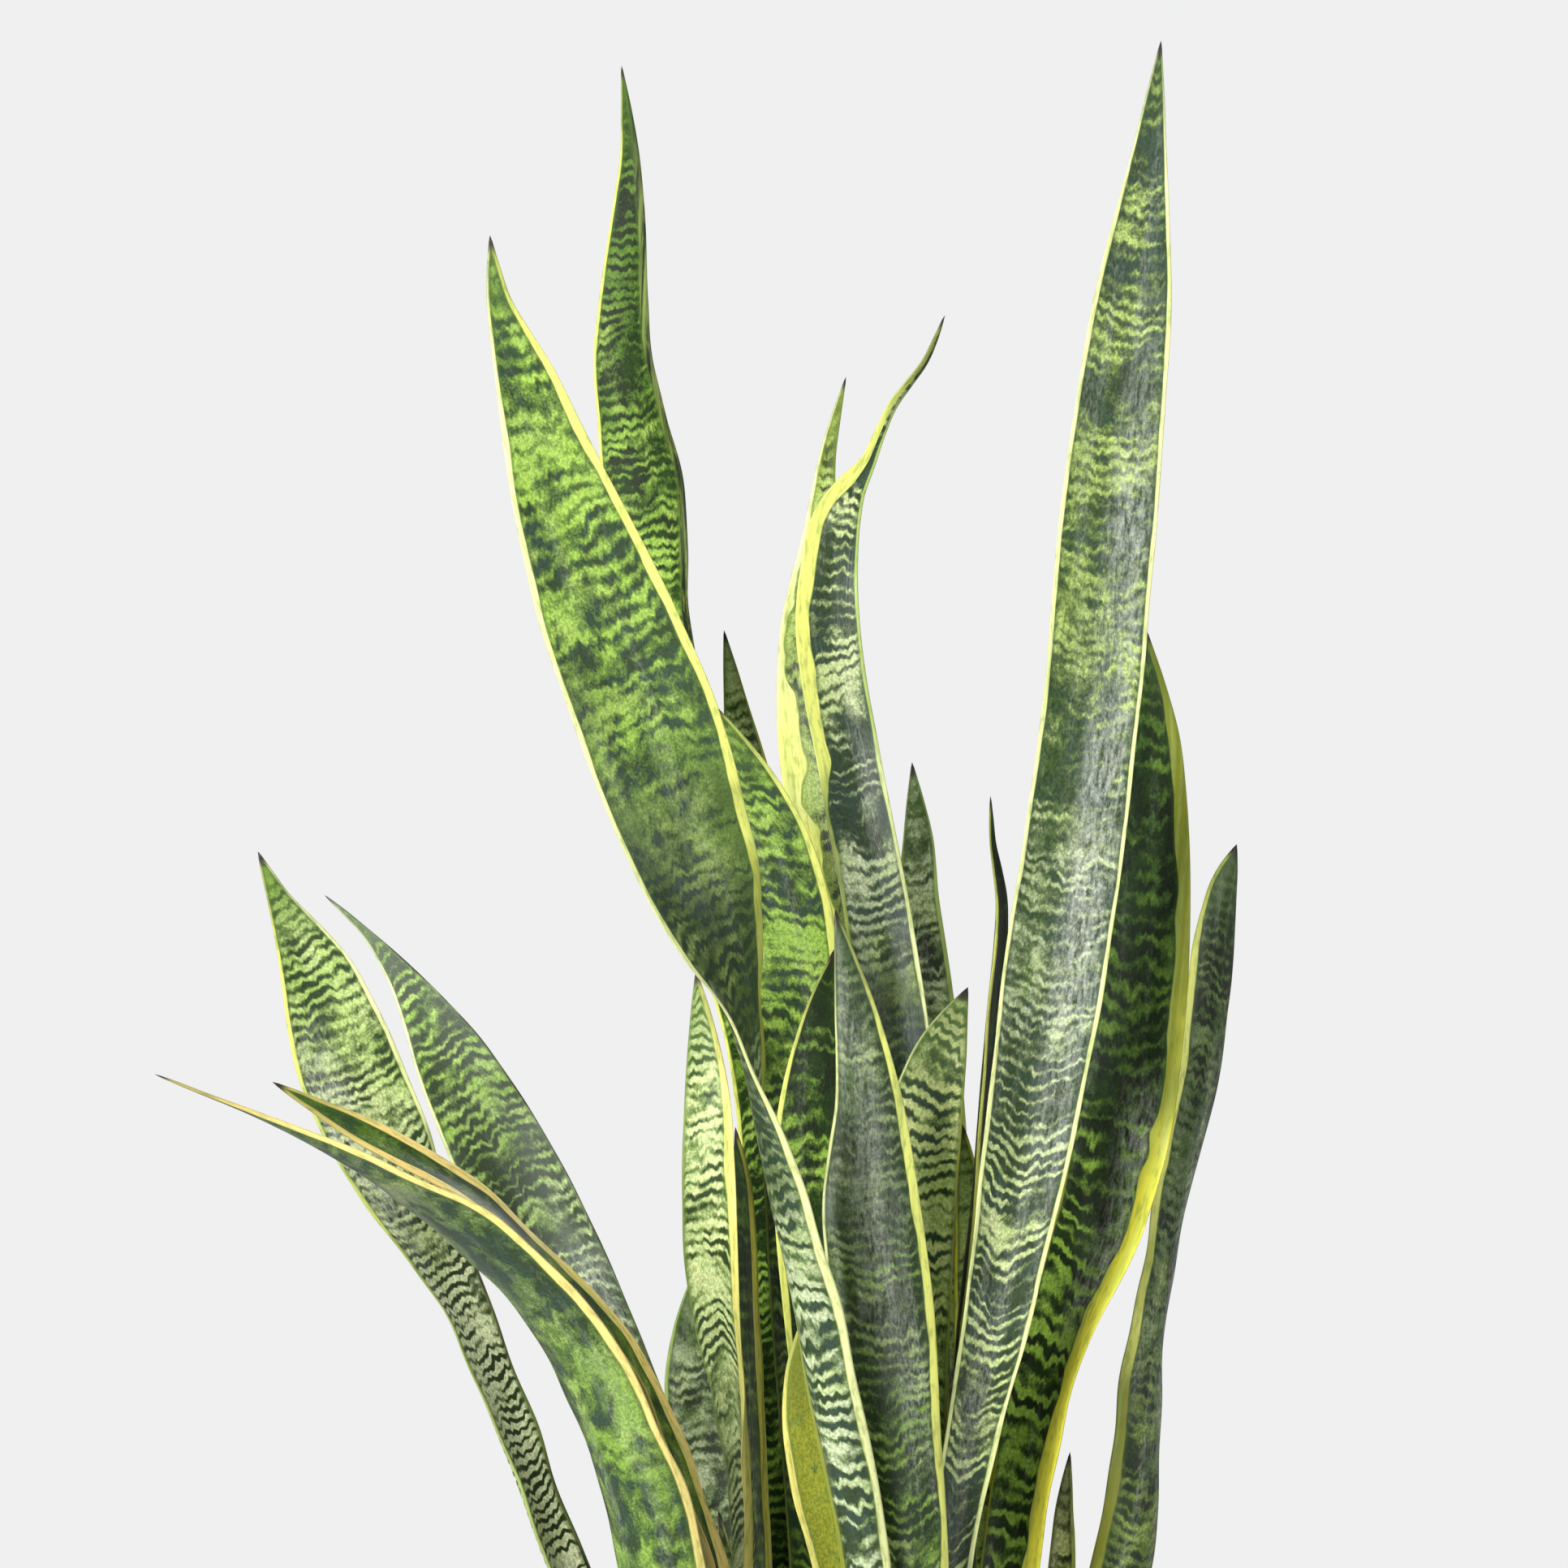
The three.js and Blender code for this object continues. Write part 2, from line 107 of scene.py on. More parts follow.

# How a kind of leaf is coloured. Lengths are in mm. `ground` is the colour at the foot, then pairs of
# a height and the colour from there up. `between` and `band` are the middle and dark tones of the
# cross bands, `pitch` their spacing, `cover` how much of the blade they take, and `regular` how
# evenly they repeat. `bow` is how far they sag at the middle of the blade below the height `turns`,
# and `slant` how far they climb per mm across. `zones` is how strongly broad dark and light zones
# follow each other, and the sheen streak strength how strong the pale streaks of painted sheen are.
# Pairs of rims are the right and the left margin, as the leaf is seen from the front.
LOOKS = {
    "silver": dict(ground=(SILVER,), turns=300, between=MID, band=TEAL, pitch=7.0, cover=0.50,
                   regular=0.19, bow=11.0, slant=0.0, zones=1.4, sheen_streaks=0.25, rims=(CREAM, CREAM),
                   rim_mm=(2.0, 2.0), roughness=0.34),
    "fresh": dict(ground=(LEAFY, (420, FRESH)), turns=420, between=MID, band=TEAL, pitch=12.0, cover=0.42,
                  regular=0.08, bow=0.0, slant=0.06, zones=1.2, sheen_streaks=0.15, rims=(BUTTER, CREAM),
                  rim_mm=(4.5, 2.4), roughness=0.36),
    "herringbone": dict(ground=(MOSS, (350, PALE)), turns=350, between=MID, band=DEEP, pitch=6.4,
                        cover=0.46, regular=0.20, bow=-9.0, slant=0.0, zones=0.8, sheen_streaks=0.2,
                        rims=(MOSS, CREAM), rim_mm=(0.8, 1.4), roughness=0.40),
    "dark": dict(ground=(MOSS,), turns=300, between=DEEP, band=INK, pitch=9.0, cover=0.60,
                 regular=0.14, bow=3.0, slant=0.0, zones=1.0, sheen_streaks=0.15, rims=(BUTTER, CREAM),
                 rim_mm=(3.0, 1.0), roughness=0.30),
    "dusk": dict(ground=(SLATE,), turns=300, between=MID, band=INK, pitch=7.0, cover=0.52,
                 regular=0.12, bow=4.0, slant=0.0, zones=0.8, sheen_streaks=0.35, rims=(OLIVE, OLIVE),
                 rim_mm=(1.2, 1.6), roughness=0.38),
    "gold": dict(ground=(YELLOW,), turns=300, between=OLIVE, band=MOSS, pitch=12.0, cover=0.14,
                 regular=0.10, bow=0.0, slant=0.0, zones=0.2, sheen_streaks=0.0, rims=(YELLOW, YELLOW),
                 rim_mm=(5.0, 5.0), roughness=0.42),
}

# Each leaf's look, and how it differs from others of its kind. `lower` holds what differs below the
# height `turns`, and `upper_rims` and `upper_mm` the margins' colours and widths above it. Each of
# `patches` is a broad soft patch: its place across, its height, its reach, its strength and its
# colour. The pale patches are painted sheen and highlights. The dark ones darken the blade there,
# as painted shade on leaf_right_tall. `shine` is how glossy the skin is, where it isn't fully so.
LEAF_LOOKS = {
    "leaf_right_tall": ("silver", dict(
        ground=(PALE, (420, SILVER), (580, LIME)), turns=500, between=PINE, cover=0.52,
        regular=0.12, bow=13.0, lower=dict(regular=0.26, cover=0.54),
        # The pale patch on the right half is painted sheen. The MID patch on the left half is painted shade,
        # where the channel's left wall turns away from the light.
        patches=((0.45, 600, 300, 0.55, SHEEN_PAINT), (-0.6, 600, 280, 0.60, MID),
                 (0.2, 660, 60, 0.8, TEAL), (-0.3, 430, 70, 0.6, DEEP)))),
    "leaf_left_tall": ("fresh", dict(
        ground=(SILVER, (420, SHADE), (610, VIVID)), turns=540, cover=0.46, pitch=9.0, zones=0.9,
        regular=0.13, lower=dict(regular=0.30, cover=0.52), rims=(OLIVE, CREAM),
        upper_rims=(BUTTER, CREAM), rim_mm=(4.0, 2.4), upper_mm=(4.4, 2.4),
        patches=((-0.5, 460, 150, 0.6, DEEP), (0.9, 540, 200, 0.4, MID)))),
    "leaf_back_tall": ("herringbone", dict(
        ground=(FRESH, (420, VIVID), (760, LEAFY)), tint=LIME, turns=420, cover=0.60, bow=-8.0,
        band=INK, rims=(INK, BUTTER), rim_mm=(4.0, 1.6), sheen_streaks=0.0, shine=0.15,
        patches=((0.8, 620, 300, 0.5, DEEP), (0.4, 820, 120, 0.8, DEEP)))),
    "leaf_back_tip": ("dusk", dict(ground=(PALE,), cover=0.25, shine=0.4)),
    "leaf_behind_broad": ("fresh", dict(
        ground=(FRESH, (380, VIVID)), turns=380, cover=0.50, slant=-0.3, pitch=8.0, regular=0.16,
        rims=(BUTTER, MOSS), rim_mm=(4.0, 1.0))),
    "leaf_centre_short": ("dark", dict(
        ground=(LEAFY, (300, FRESH)), cover=0.60, rims=(MOSS, BUTTER), rim_mm=(1.0, 3.2), shine=0.5)),
    "leaf_front_centre": ("silver", dict(
        ground=(FRESH, (300, FERN)), tint=PALE, cover=0.50, between=PINE, band=DEEP, sheen_streaks=0.35,
        zones=1.2, rims=(BUTTER, CREAM), rim_mm=(4.0, 1.4),
        # The pale patch is painted sheen.
        patches=((0.0, 360, 120, 0.3, SHEEN_PAINT), (-0.8, 330, 200, 0.4, MID)))),
    "leaf_centre_curl": ("silver", dict(
        ground=(SHADE, (480, SILVER), (620, PALE)), turns=560, between=PINE, cover=0.56, bow=5.0,
        rims=(CREAM, MOSS), upper_rims=(LIME, BUTTER), rim_mm=(2.2, 1.6), upper_mm=(1.6, 7.0))),
    "leaf_centre_gold": ("dark", dict(
        ground=(MOSS, (560, LIME)), turns=640, cover=0.42, between=MOSS, rims=(OLIVE, BUTTER),
        upper_rims=(MOSS, CREAM), rim_mm=(1.0, 14.0), upper_mm=(1.0, 2.4))),
    "leaf_right_of_centre": ("fresh", dict(
        ground=(LIME, (380, CREAM)), turns=390, between=LEAFY, cover=0.36, bow=2.0, pitch=8.0,
        slant=0.0, zones=0.4, regular=0.30, sheen_streaks=0.0, rims=(OLIVE, CREAM), rim_mm=(1.2, 1.8))),
    "leaf_right_dark": ("dusk", dict(
        ground=(VIVID, (420, SILVER)), cover=0.38, rims=(LIME, OLIVE), rim_mm=(2.2, 1.2))),
    "leaf_right_sliver": ("dusk", dict(
        ground=(LIME,), cover=0.30, rims=(YELLOW, YELLOW), rim_mm=(4.0, 2.0), shine=0.4)),
    "leaf_right_edgewise": ("dark", dict(
        ground=(LEAFY,), tint=LEAFY, cover=0.70, rims=(INK, BUTTER), rim_mm=(2.0, 1.2), shine=0.5)),
    "leaf_right_second": ("dark", dict(
        ground=(VIVID, (420, LEAFY), (640, SHADE)), tint=FRESH, turns=400, between=PINE, cover=0.70,
        pitch=11.0, regular=0.18, zones=0.8, lower=dict(regular=0.34, cover=0.52),
        rims=(YELLOW, OLIVE), upper_rims=(OLIVE, OLIVE), rim_mm=(13.0, 1.4), upper_mm=(8.0, 1.4),
        # The pale patch beside the right margin is a painted highlight.
        shine=0.5, patches=((-0.2, 520, 160, 0.5, DEEP), (0.35, 360, 90, 0.5, SHEEN_PAINT)))),
    "leaf_far_right": ("dusk", dict(
        ground=(MOSS, (300, SLATE)), rims=(INK, OLIVE), upper_rims=(INK, BUTTER), rim_mm=(1.4, 4.0),
        # The pale patch is painted sheen on the right.
        patches=((0.45, 330, 160, 0.4, SHEEN_PAINT),))),
    "leaf_right_pup": ("dark", dict(ground=(CREAM,), cover=0.25, rims=(BUTTER, OLIVE), shine=0.5)),
    "leaf_left_narrow": ("herringbone", dict(
        ground=(PALE,), tint=CREAM, between=LEAFY, cover=0.40, zones=0.2, regular=0.26,
        rims=(STRAW, MOSS), rim_mm=(5.4, 1.0), bow=-14.0, sheen_streaks=0.0)),
    "leaf_left_behind": ("dusk", dict(
        ground=(SILVER, (260, SLATE)), cover=0.46, rims=(OLIVE, LIME), rim_mm=(2.6, 2.6))),
    "leaf_left_pup": ("dark", dict(ground=(LIME,), cover=0.44)),
    "leaf_left_mid": ("dark", dict(
        ground=(LEAFY,), cover=0.5, rims=(YELLOW, MOSS), rim_mm=(7.0, 1.0))),
    "leaf_centre_gold_short": ("gold", dict(
        # Its yellow is painted down to olive and bronze, as painted shade where it sits deep in the clump.
        ground=(OLIVE, (280, SHADED_GOLD)), tint=OLIVE, between=MOSS, rims=(OLIVE, STRAW),
        upper_rims=(OLIVE, STRAW), rim_mm=(7.0, 3.6), shine=0.4)),
    "leaf_left_inner": ("herringbone", dict(
        ground=(SILVER, (340, VIVID)), tint=PALE, turns=330, pitch=7.5, between=MID, cover=0.58,
        zones=0.9, regular=0.20, rims=(INK, CREAM), sheen_streaks=0.1,
        # The pale patch is painted sheen.
        patches=((0.45, 280, 80, 0.6, SHEEN_PAINT), (0.7, 380, 160, 0.4, DEEP)))),
    "leaf_far_left": ("herringbone", dict(
        # The foot's pale colour is pushed lighter still, as painted light on a part that stands in shade.
        ground=(PAINTED_LIGHT_IVORY, (360, PALE), (500, VIVID)), tint=PALE, turns=380, cover=0.36, bow=4.0,
        lower=dict(cover=0.22, regular=0.50), sheen_streaks=0.0, rims=(INK, LIME),
        upper_rims=(CREAM, BUTTER), rim_mm=(2.0, 1.6), upper_mm=(2.4, 2.0),
        # The pale patch low on the left is painted sheen.
        patches=((-0.6, 420, 90, 0.6, SHEEN_PAINT),))),
    "leaf_arching_low": ("fresh", dict(
        ground=(FRESH, (330, SLATE)), turns=330, cover=0.52, slant=0.0, pitch=12.0,
        rims=(HONEY, SLATE), rim_mm=(2.6, 1.4))),
    "leaf_arching_folded": ("fresh", dict(
        ground=(LEAFY,), cover=0.6, slant=0.0, rims=(HONEY, HONEY), rim_mm=(6.0, 5.6), shine=0.5)),
}


# ---------- node material helpers ----------


class Shader:
    """A node material being built. Its methods return output sockets."""

    def __init__(self, name):
        self.material = bpy.data.materials.new(name)
        self.material.use_nodes = True
        self.tree = self.material.node_tree
        self.surface = self.tree.nodes["Principled BSDF"]

    def node(self, kind, **settings):
        made = self.tree.nodes.new(kind)
        for key, value in settings.items():
            setattr(made, key, value)
        return made

    def put(self, socket, value):
        if isinstance(value, bpy.types.NodeSocket):
            self.tree.links.new(value, socket)
        elif value is not None:
            if socket.type == "RGBA" and len(value) == 3:
                value = (*value, 1.0)
            socket.default_value = value

    def attribute(self, name, output="Fac"):
        return self.node("ShaderNodeAttribute", attribute_name=name).outputs[output]

    def math(self, operation, a, b=None, c=None, clamp=False):
        made = self.node("ShaderNodeMath", operation=operation, use_clamp=clamp)
        for socket, value in zip(made.inputs, (a, b, c)):
            self.put(socket, value)
        return made.outputs[0]

    def split(self, vector):
        made = self.node("ShaderNodeSeparateXYZ")
        self.put(made.inputs[0], vector)
        return made.outputs

    def join(self, x, y, z):
        made = self.node("ShaderNodeCombineXYZ")
        for socket, value in zip(made.inputs, (x, y, z)):
            self.put(socket, value)
        return made.outputs[0]

    def noise(self, vector, scale=1.0, detail=2.0, roughness=0.5):
        made = self.node("ShaderNodeTexNoise")
        self.put(made.inputs["Vector"], vector)
        made.inputs["Scale"].default_value = scale
        made.inputs["Detail"].default_value = detail
        made.inputs["Roughness"].default_value = roughness
        return made.outputs["Fac"]

    def step(self, value, low, high, start=0.0, end=1.0):
        """A smooth step from start to end as value goes from low to high."""
        made = self.node("ShaderNodeMapRange", interpolation_type="SMOOTHSTEP")
        ends = {"Value": value, "From Min": low, "From Max": high, "To Min": start, "To Max": end}
        for key, given in ends.items():
            self.put(made.inputs[key], given)
        return made.outputs[0]

    def mix(self, factor, a, b, blend="MIX"):
        made = self.node("ShaderNodeMix", data_type="RGBA", blend_type=blend)
        self.put(made.inputs[0], factor)
        self.put(made.inputs[6], a)
        self.put(made.inputs[7], b)
        return made.outputs[2]

    def bump(self, height, distance, strength=1.0):
        made = self.node("ShaderNodeBump")
        made.inputs["Strength"].default_value = strength
        made.inputs["Distance"].default_value = distance
        self.put(made.inputs["Height"], height)
        self.put(self.surface.inputs["Normal"], made.outputs[0])

    def finish(self, colour, roughness):
        self.put(self.surface.inputs["Base Color"], colour)
        self.put(self.surface.inputs["Roughness"], roughness)
        return self.material


# ---------- leaf material ----------


def leaf_material(name, look, seed):
    """Cross-banded leaf skin. It reads the leaf's own measures in mm: grain holds the place across
    and along and the face, rim the distance to the margin, spread the place across from -1 to 1 as
    seen from the front, and tip and stalk the distances to the two ends."""
    s = Shader(name)
    across, along, face = s.split(s.attribute("grain", "Vector"))
    spread = s.attribute("spread")
    rim = s.attribute("rim")
    tip = s.attribute("tip")
    stalk = s.attribute("stalk")
    layer = s.math("MULTIPLY_ADD", face, 7.3, seed)

    def field(per_across, per_along, shift, detail=2.0, roughness=0.5, climb=along):
        place = s.join(s.math("MULTIPLY", across, per_across), s.math("MULTIPLY", climb, per_along),
                       s.math("ADD", layer, shift))
        return s.noise(place, detail=detail, roughness=roughness)

    # The bands run across the leaf. They sag or rise at the middle, slip along it in narrow strips,
    # and wander.
    rise = s.math("MULTIPLY_ADD", s.math("SUBTRACT", field(0.02, 0.02, 23.0), 0.5), 300.0, stalk)
    upper = s.step(rise, look["turns"] - 80, look["turns"] + 80)
    bow = s.step(upper, 0.0, 1.0, look["bow"], 0.3 * look["bow"])
    fold = s.math("MULTIPLY", s.math("POWER", s.math("ABSOLUTE", spread), 1.4), bow)
    bent = s.math("SUBTRACT", along, fold)
    bent = s.math("SUBTRACT", bent, s.math("MULTIPLY", across, look["slant"]))
    bent = s.math("MULTIPLY_ADD", field(0.26, 0.06, 0.0, detail=1.5), 1.2 * look["pitch"], bent)
    bent = s.math("MULTIPLY_ADD", field(0.05, 0.02, 5.0, detail=1.0), 2.4 * look["pitch"], bent)
    wave = s.math("SINE", s.math("MULTIPLY", bent, 2 * math.pi / look["pitch"]))
    patch = field(0.085, 0.55 / look["pitch"], 11.0, detail=3.0, roughness=0.62, climb=bent)
    zone = field(0.014, 0.021, 17.0, detail=1.0, climb=bent)
    frizz = field(0.9, 0.7, 19.0, detail=2.0, roughness=0.6)
    lower = {**look, **look.get("lower", {})}
    regular = s.step(upper, 0.0, 1.0, lower["regular"], look["regular"])
    swell = s.math("MULTIPLY", s.step(field(0.030, 0.045, 21.0, climb=bent), 0.36, 0.60, 0.25, 1.5),
                   regular)
    weight = s.math("MULTIPLY_ADD", wave, swell, s.math("MULTIPLY", patch, 1.4))
    weight = s.math("MULTIPLY_ADD", zone, look["zones"], weight)
    weight = s.math("MULTIPLY_ADD", frizz, 0.45, weight)
    cover = s.step(upper, 0.0, 1.0, 0.9 * lower["cover"], 0.9 * look["cover"])
    weight = s.math("ADD", weight, cover)
    level = 1.375 + 0.5 * look["zones"]
    between = s.step(weight, level - 0.28, level + 0.02)
    band = s.step(weight, level - 0.04, level + 0.20)

    ground = look["ground"][0]
    for start, colour in look["ground"][1:]:
        ground = s.mix(s.step(rise, start - 80, start + 80), ground, colour)
    tint = s.step(field(0.06, 0.035, 27.0, detail=3.0), 0.42, 0.66)
    ground = s.mix(s.math("MULTIPLY", tint, 0.45), ground, look.get("tint", LIME))
    fleck = s.step(field(0.55, 0.40, 29.0, detail=3.0, roughness=0.7), 0.40, 0.66)
    ground = s.mix(s.math("MULTIPLY", fleck, 0.30), ground, look["between"])
    skin = s.mix(s.math("MULTIPLY", between, 0.80), ground, look["between"])
    cool = s.mix(s.step(field(0.09, 0.05, 31.0), 0.45, 0.60), look["band"], DEEP)
    skin = s.mix(s.math("MULTIPLY", band, 0.94), skin, cool)

    # Painted sheen lies along the leaf in soft pale streaks.
    streak = s.step(field(0.11, 0.006, 37.0, detail=2.0), 0.50, 0.72)
    grain = s.step(field(0.9, 0.25, 39.0, detail=2.0), 0.3, 0.7)
    skin = s.mix(s.math("MULTIPLY", s.math("MULTIPLY", streak, grain), look["sheen_streaks"]), skin, SHEEN_PAINT)
    # Broad soft patches: pale ones are painted sheen and highlights, dark ones darken the blade, partly as
    # painted shade.
    for place, height, reach, strength, colour in look.get("patches", ()):
        sideways = s.step(s.math("ABSOLUTE", s.math("SUBTRACT", spread, place)), 0.70, 0.10)
        upwards = s.step(s.math("ABSOLUTE", s.math("SUBTRACT", stalk, height)), reach, 0.3 * reach)
        broken = s.step(field(0.50, 0.12, 61.0 + place, detail=4.0, roughness=0.7), 0.34, 0.66)
        spot = s.math("MULTIPLY", s.math("MULTIPLY", sideways, upwards), broken)
        skin = s.mix(s.math("MULTIPLY", spot, strength), skin, colour)

    # Fine mottling, darker and lighter.
    mottle = s.step(field(0.75, 0.55, 67.0, detail=4.0, roughness=0.75), 0.34, 0.66, 0.66, 1.34)
    skin = s.mix(1.0, skin, s.join(mottle, mottle, mottle), "MULTIPLY")

    # Margin: a pale stripe whose inner side wanders, with a thin dark line beside it.
    right = s.step(spread, -0.02, 0.02)
    wander = s.math("MULTIPLY_ADD", field(0.02, 0.022, 41.0), 1.2, 0.4)
    lower_mm, upper_mm = look["rim_mm"], look.get("upper_mm", look["rim_mm"])
    reach = s.step(right, 0.0, 1.0, lower_mm[1], lower_mm[0])
    if "upper_mm" in look:
        reach = s.step(upper, 0.0, 1.0, reach, s.step(right, 0.0, 1.0, upper_mm[1], upper_mm[0]))
    reach = s.math("MULTIPLY", s.math("MULTIPLY", wander, reach), s.step(tip, 10.0, 110.0, 0.35, 1.0))
    inside = s.math("SUBTRACT", rim, reach)
    beside = s.math("MULTIPLY", s.step(inside, 2.4, 0.3), 0.6)
    skin = s.mix(beside, skin, look["between"])
    colour = s.mix(right, look["rims"][1], look["rims"][0])
    if "upper_rims" in look:
        higher = s.mix(right, look["upper_rims"][1], look["upper_rims"][0])
        colour = s.mix(upper, colour, higher)
    blush = s.step(field(0.3, 0.010, 43.0), 0.42, 0.70)
    colour = s.mix(s.math("MULTIPLY", blush, 0.45), colour, LIME)
    worn = s.step(field(0.5, 0.10, 71.0, detail=3.0, roughness=0.6), 0.46, 0.70)
    colour = s.mix(s.math("MULTIPLY", worn, 0.50), colour, MOSS)
    skin = s.mix(s.step(inside, 0.5, -0.3), skin, colour)
    skin = s.mix(s.math("MULTIPLY", s.step(rim, 0.5, 0.1), 0.30), skin, DRY)

    # Both ends: a pale, unbanded foot, and a dry awl at the tip.
    skin = s.mix(s.math("MULTIPLY", s.step(stalk, 80.0, 36.0), 0.5), skin, (0.36, 0.40, 0.18))
    skin = s.mix(s.math("MULTIPLY", s.step(tip, 70.0, 16.0), 0.55), skin, look["between"])
    skin = s.mix(s.step(tip, 11.0, 4.0), skin, DRY)

    # Fine lengthwise ribs and a little unevenness, in the surface and in its gloss.
    ribs = field(1.6, 0.012, 47.0, detail=2.0)
    grainy = field(2.5, 1.6, 53.0, detail=2.0)
    height = s.math("MULTIPLY_ADD", ribs, 0.8, s.math("MULTIPLY", grainy, 0.25))
    height = s.math("MULTIPLY_ADD", band, -0.12, height)
    s.bump(height, 0.35 * MM, 0.5)
    gloss = s.math("MULTIPLY_ADD", field(0.10, 0.02, 59.0), 0.16, look["roughness"] - 0.06)
    shine = look.get("shine", 1.0)
    s.surface.inputs["Specular IOR Level"].default_value = 0.36 * shine
    s.surface.inputs["Coat Weight"].default_value = 0.07 * shine
    s.surface.inputs["Coat Roughness"].default_value = 0.25
    return s.finish(skin, gloss)


# ---------- reading a leaf out of the CAD model ----------


def leaf_rings(node):
    """The rings of eight points that the CAD leaf is lofted through, from its base to its tip, as
    an array, and the tip. Point 0 and 4 of a ring are the margins, 1 to 3 the inner face."""
    mesh = frame["nodes"][node].data
    welded = bmesh.new()
    welded.from_mesh(mesh)
    bmesh.ops.remove_doubles(welded, verts=welded.verts, dist=0.02 * MM)
    welded.verts.ensure_lookup_table()

    def levels(start):
        seen = {start: 0}
        front = [start]
        while front:
            reached = []
            for vert in front:
                for edge in vert.link_edges:
                    other = edge.other_vert(vert)
                    if other not in seen:
                        seen[other] = seen[vert] + 1
                        reached.append(other)
            front = reached
        return seen

    def rings_from(start):
        depth = levels(start)
        rings = [[] for _ in range(max(depth.values()) + 1)]
        for vert, level in depth.items():
            rings[level].append(vert)
        return depth, rings

    # The tip is the one point from which every ring has eight points.
    for tip in welded.verts:
        if len(tip.link_edges) == 8:
            depth, rings = rings_from(tip)
            if all(len(ring) == 8 for ring in rings[1:]):
                break

    def ordered(ring):
        level = depth[ring[0]]
        beside = {vert: set() for vert in ring}
        for vert in ring:
            for face in vert.link_faces:
                if all(depth[v] == level for v in face.verts):
                    continue
                beside[vert].update(v for v in face.verts if v is not vert and depth[v] == level)
        loop = [ring[0]]
        while len(loop) < len(ring):
            loop.append(next(v for v in beside[loop[-1]] if v not in loop))
        return np.array([v.co for v in loop])

    loops = [ordered(ring) for ring in rings[1:]]
    tip_place = np.array(tip.co)
    welded.free()
    widths = [max(np.linalg.norm(loop[i] - loop[i + 4]) for i in range(4)) for loop in loops]
    widest = int(np.argmax(widths))
    first = max(range(4), key=lambda i: np.linalg.norm(loops[widest][i] - loops[widest][i + 4]))
    loops[widest] = np.roll(loops[widest], -first, axis=0)
    middle = (loops[widest][2] + loops[widest][6]) / 2
    inward = (loops[widest][0] + loops[widest][4]) / 2 - middle
    if np.dot(loops[widest][2] - middle, inward) < 0:
        loops[widest] = np.roll(loops[widest][::-1], 1, axis=0)

    def matched(loop, like):
        """The loop turned, and reversed if need be, to run as its neighbour does."""
        loop_shape, like_shape = loop - loop.mean(0), like - like.mean(0)
        turns = [(np.roll(order, -i, axis=0), np.roll(shape, -i, axis=0))
                 for order, shape in ((loop, loop_shape), (loop[::-1], loop_shape[::-1])) for i in range(8)]
        return min(turns, key=lambda turn: np.sum((turn[1] - like_shape) ** 2))[0]

    for i in range(widest + 1, len(loops)):
        loops[i] = matched(loops[i], loops[i - 1])
    for i in range(widest - 1, -1, -1):
        loops[i] = matched(loops[i], loops[i + 1])
    return np.array(loops[::-1]), tip_place


def smooth_through(knots, values, at):
    """Cubic curve through values at knots, read at the given places."""
    slope = np.gradient(values, knots, axis=0)
    i = np.clip(np.searchsorted(knots, at) - 1, 0, len(knots) - 2)
    span = knots[i + 1] - knots[i]
    t = (at - knots[i]) / span
    if values.ndim > 1:
        t, span = t[:, None], span[:, None]
    near = (2 * t ** 3 - 3 * t ** 2 + 1) * values[i] + (t ** 3 - 2 * t ** 2 + t) * span * slope[i]
    far = (3 * t ** 2 - 2 * t ** 3) * values[i + 1] + (t ** 3 - t ** 2) * span * slope[i + 1]
    return near + far


def unit(vectors):
    return vectors / np.linalg.norm(vectors, axis=1, keepdims=True)


def foot_faces(columns):
    """Faces that close a leaf's first row of points, from margin to margin."""
    half = columns // 2
    strip = [(i, i + 1, columns - i - 1, columns - i) for i in range(1, half - 1)]
    return [(0, 1, columns - 1), *strip, (half - 1, half, half + 1)]


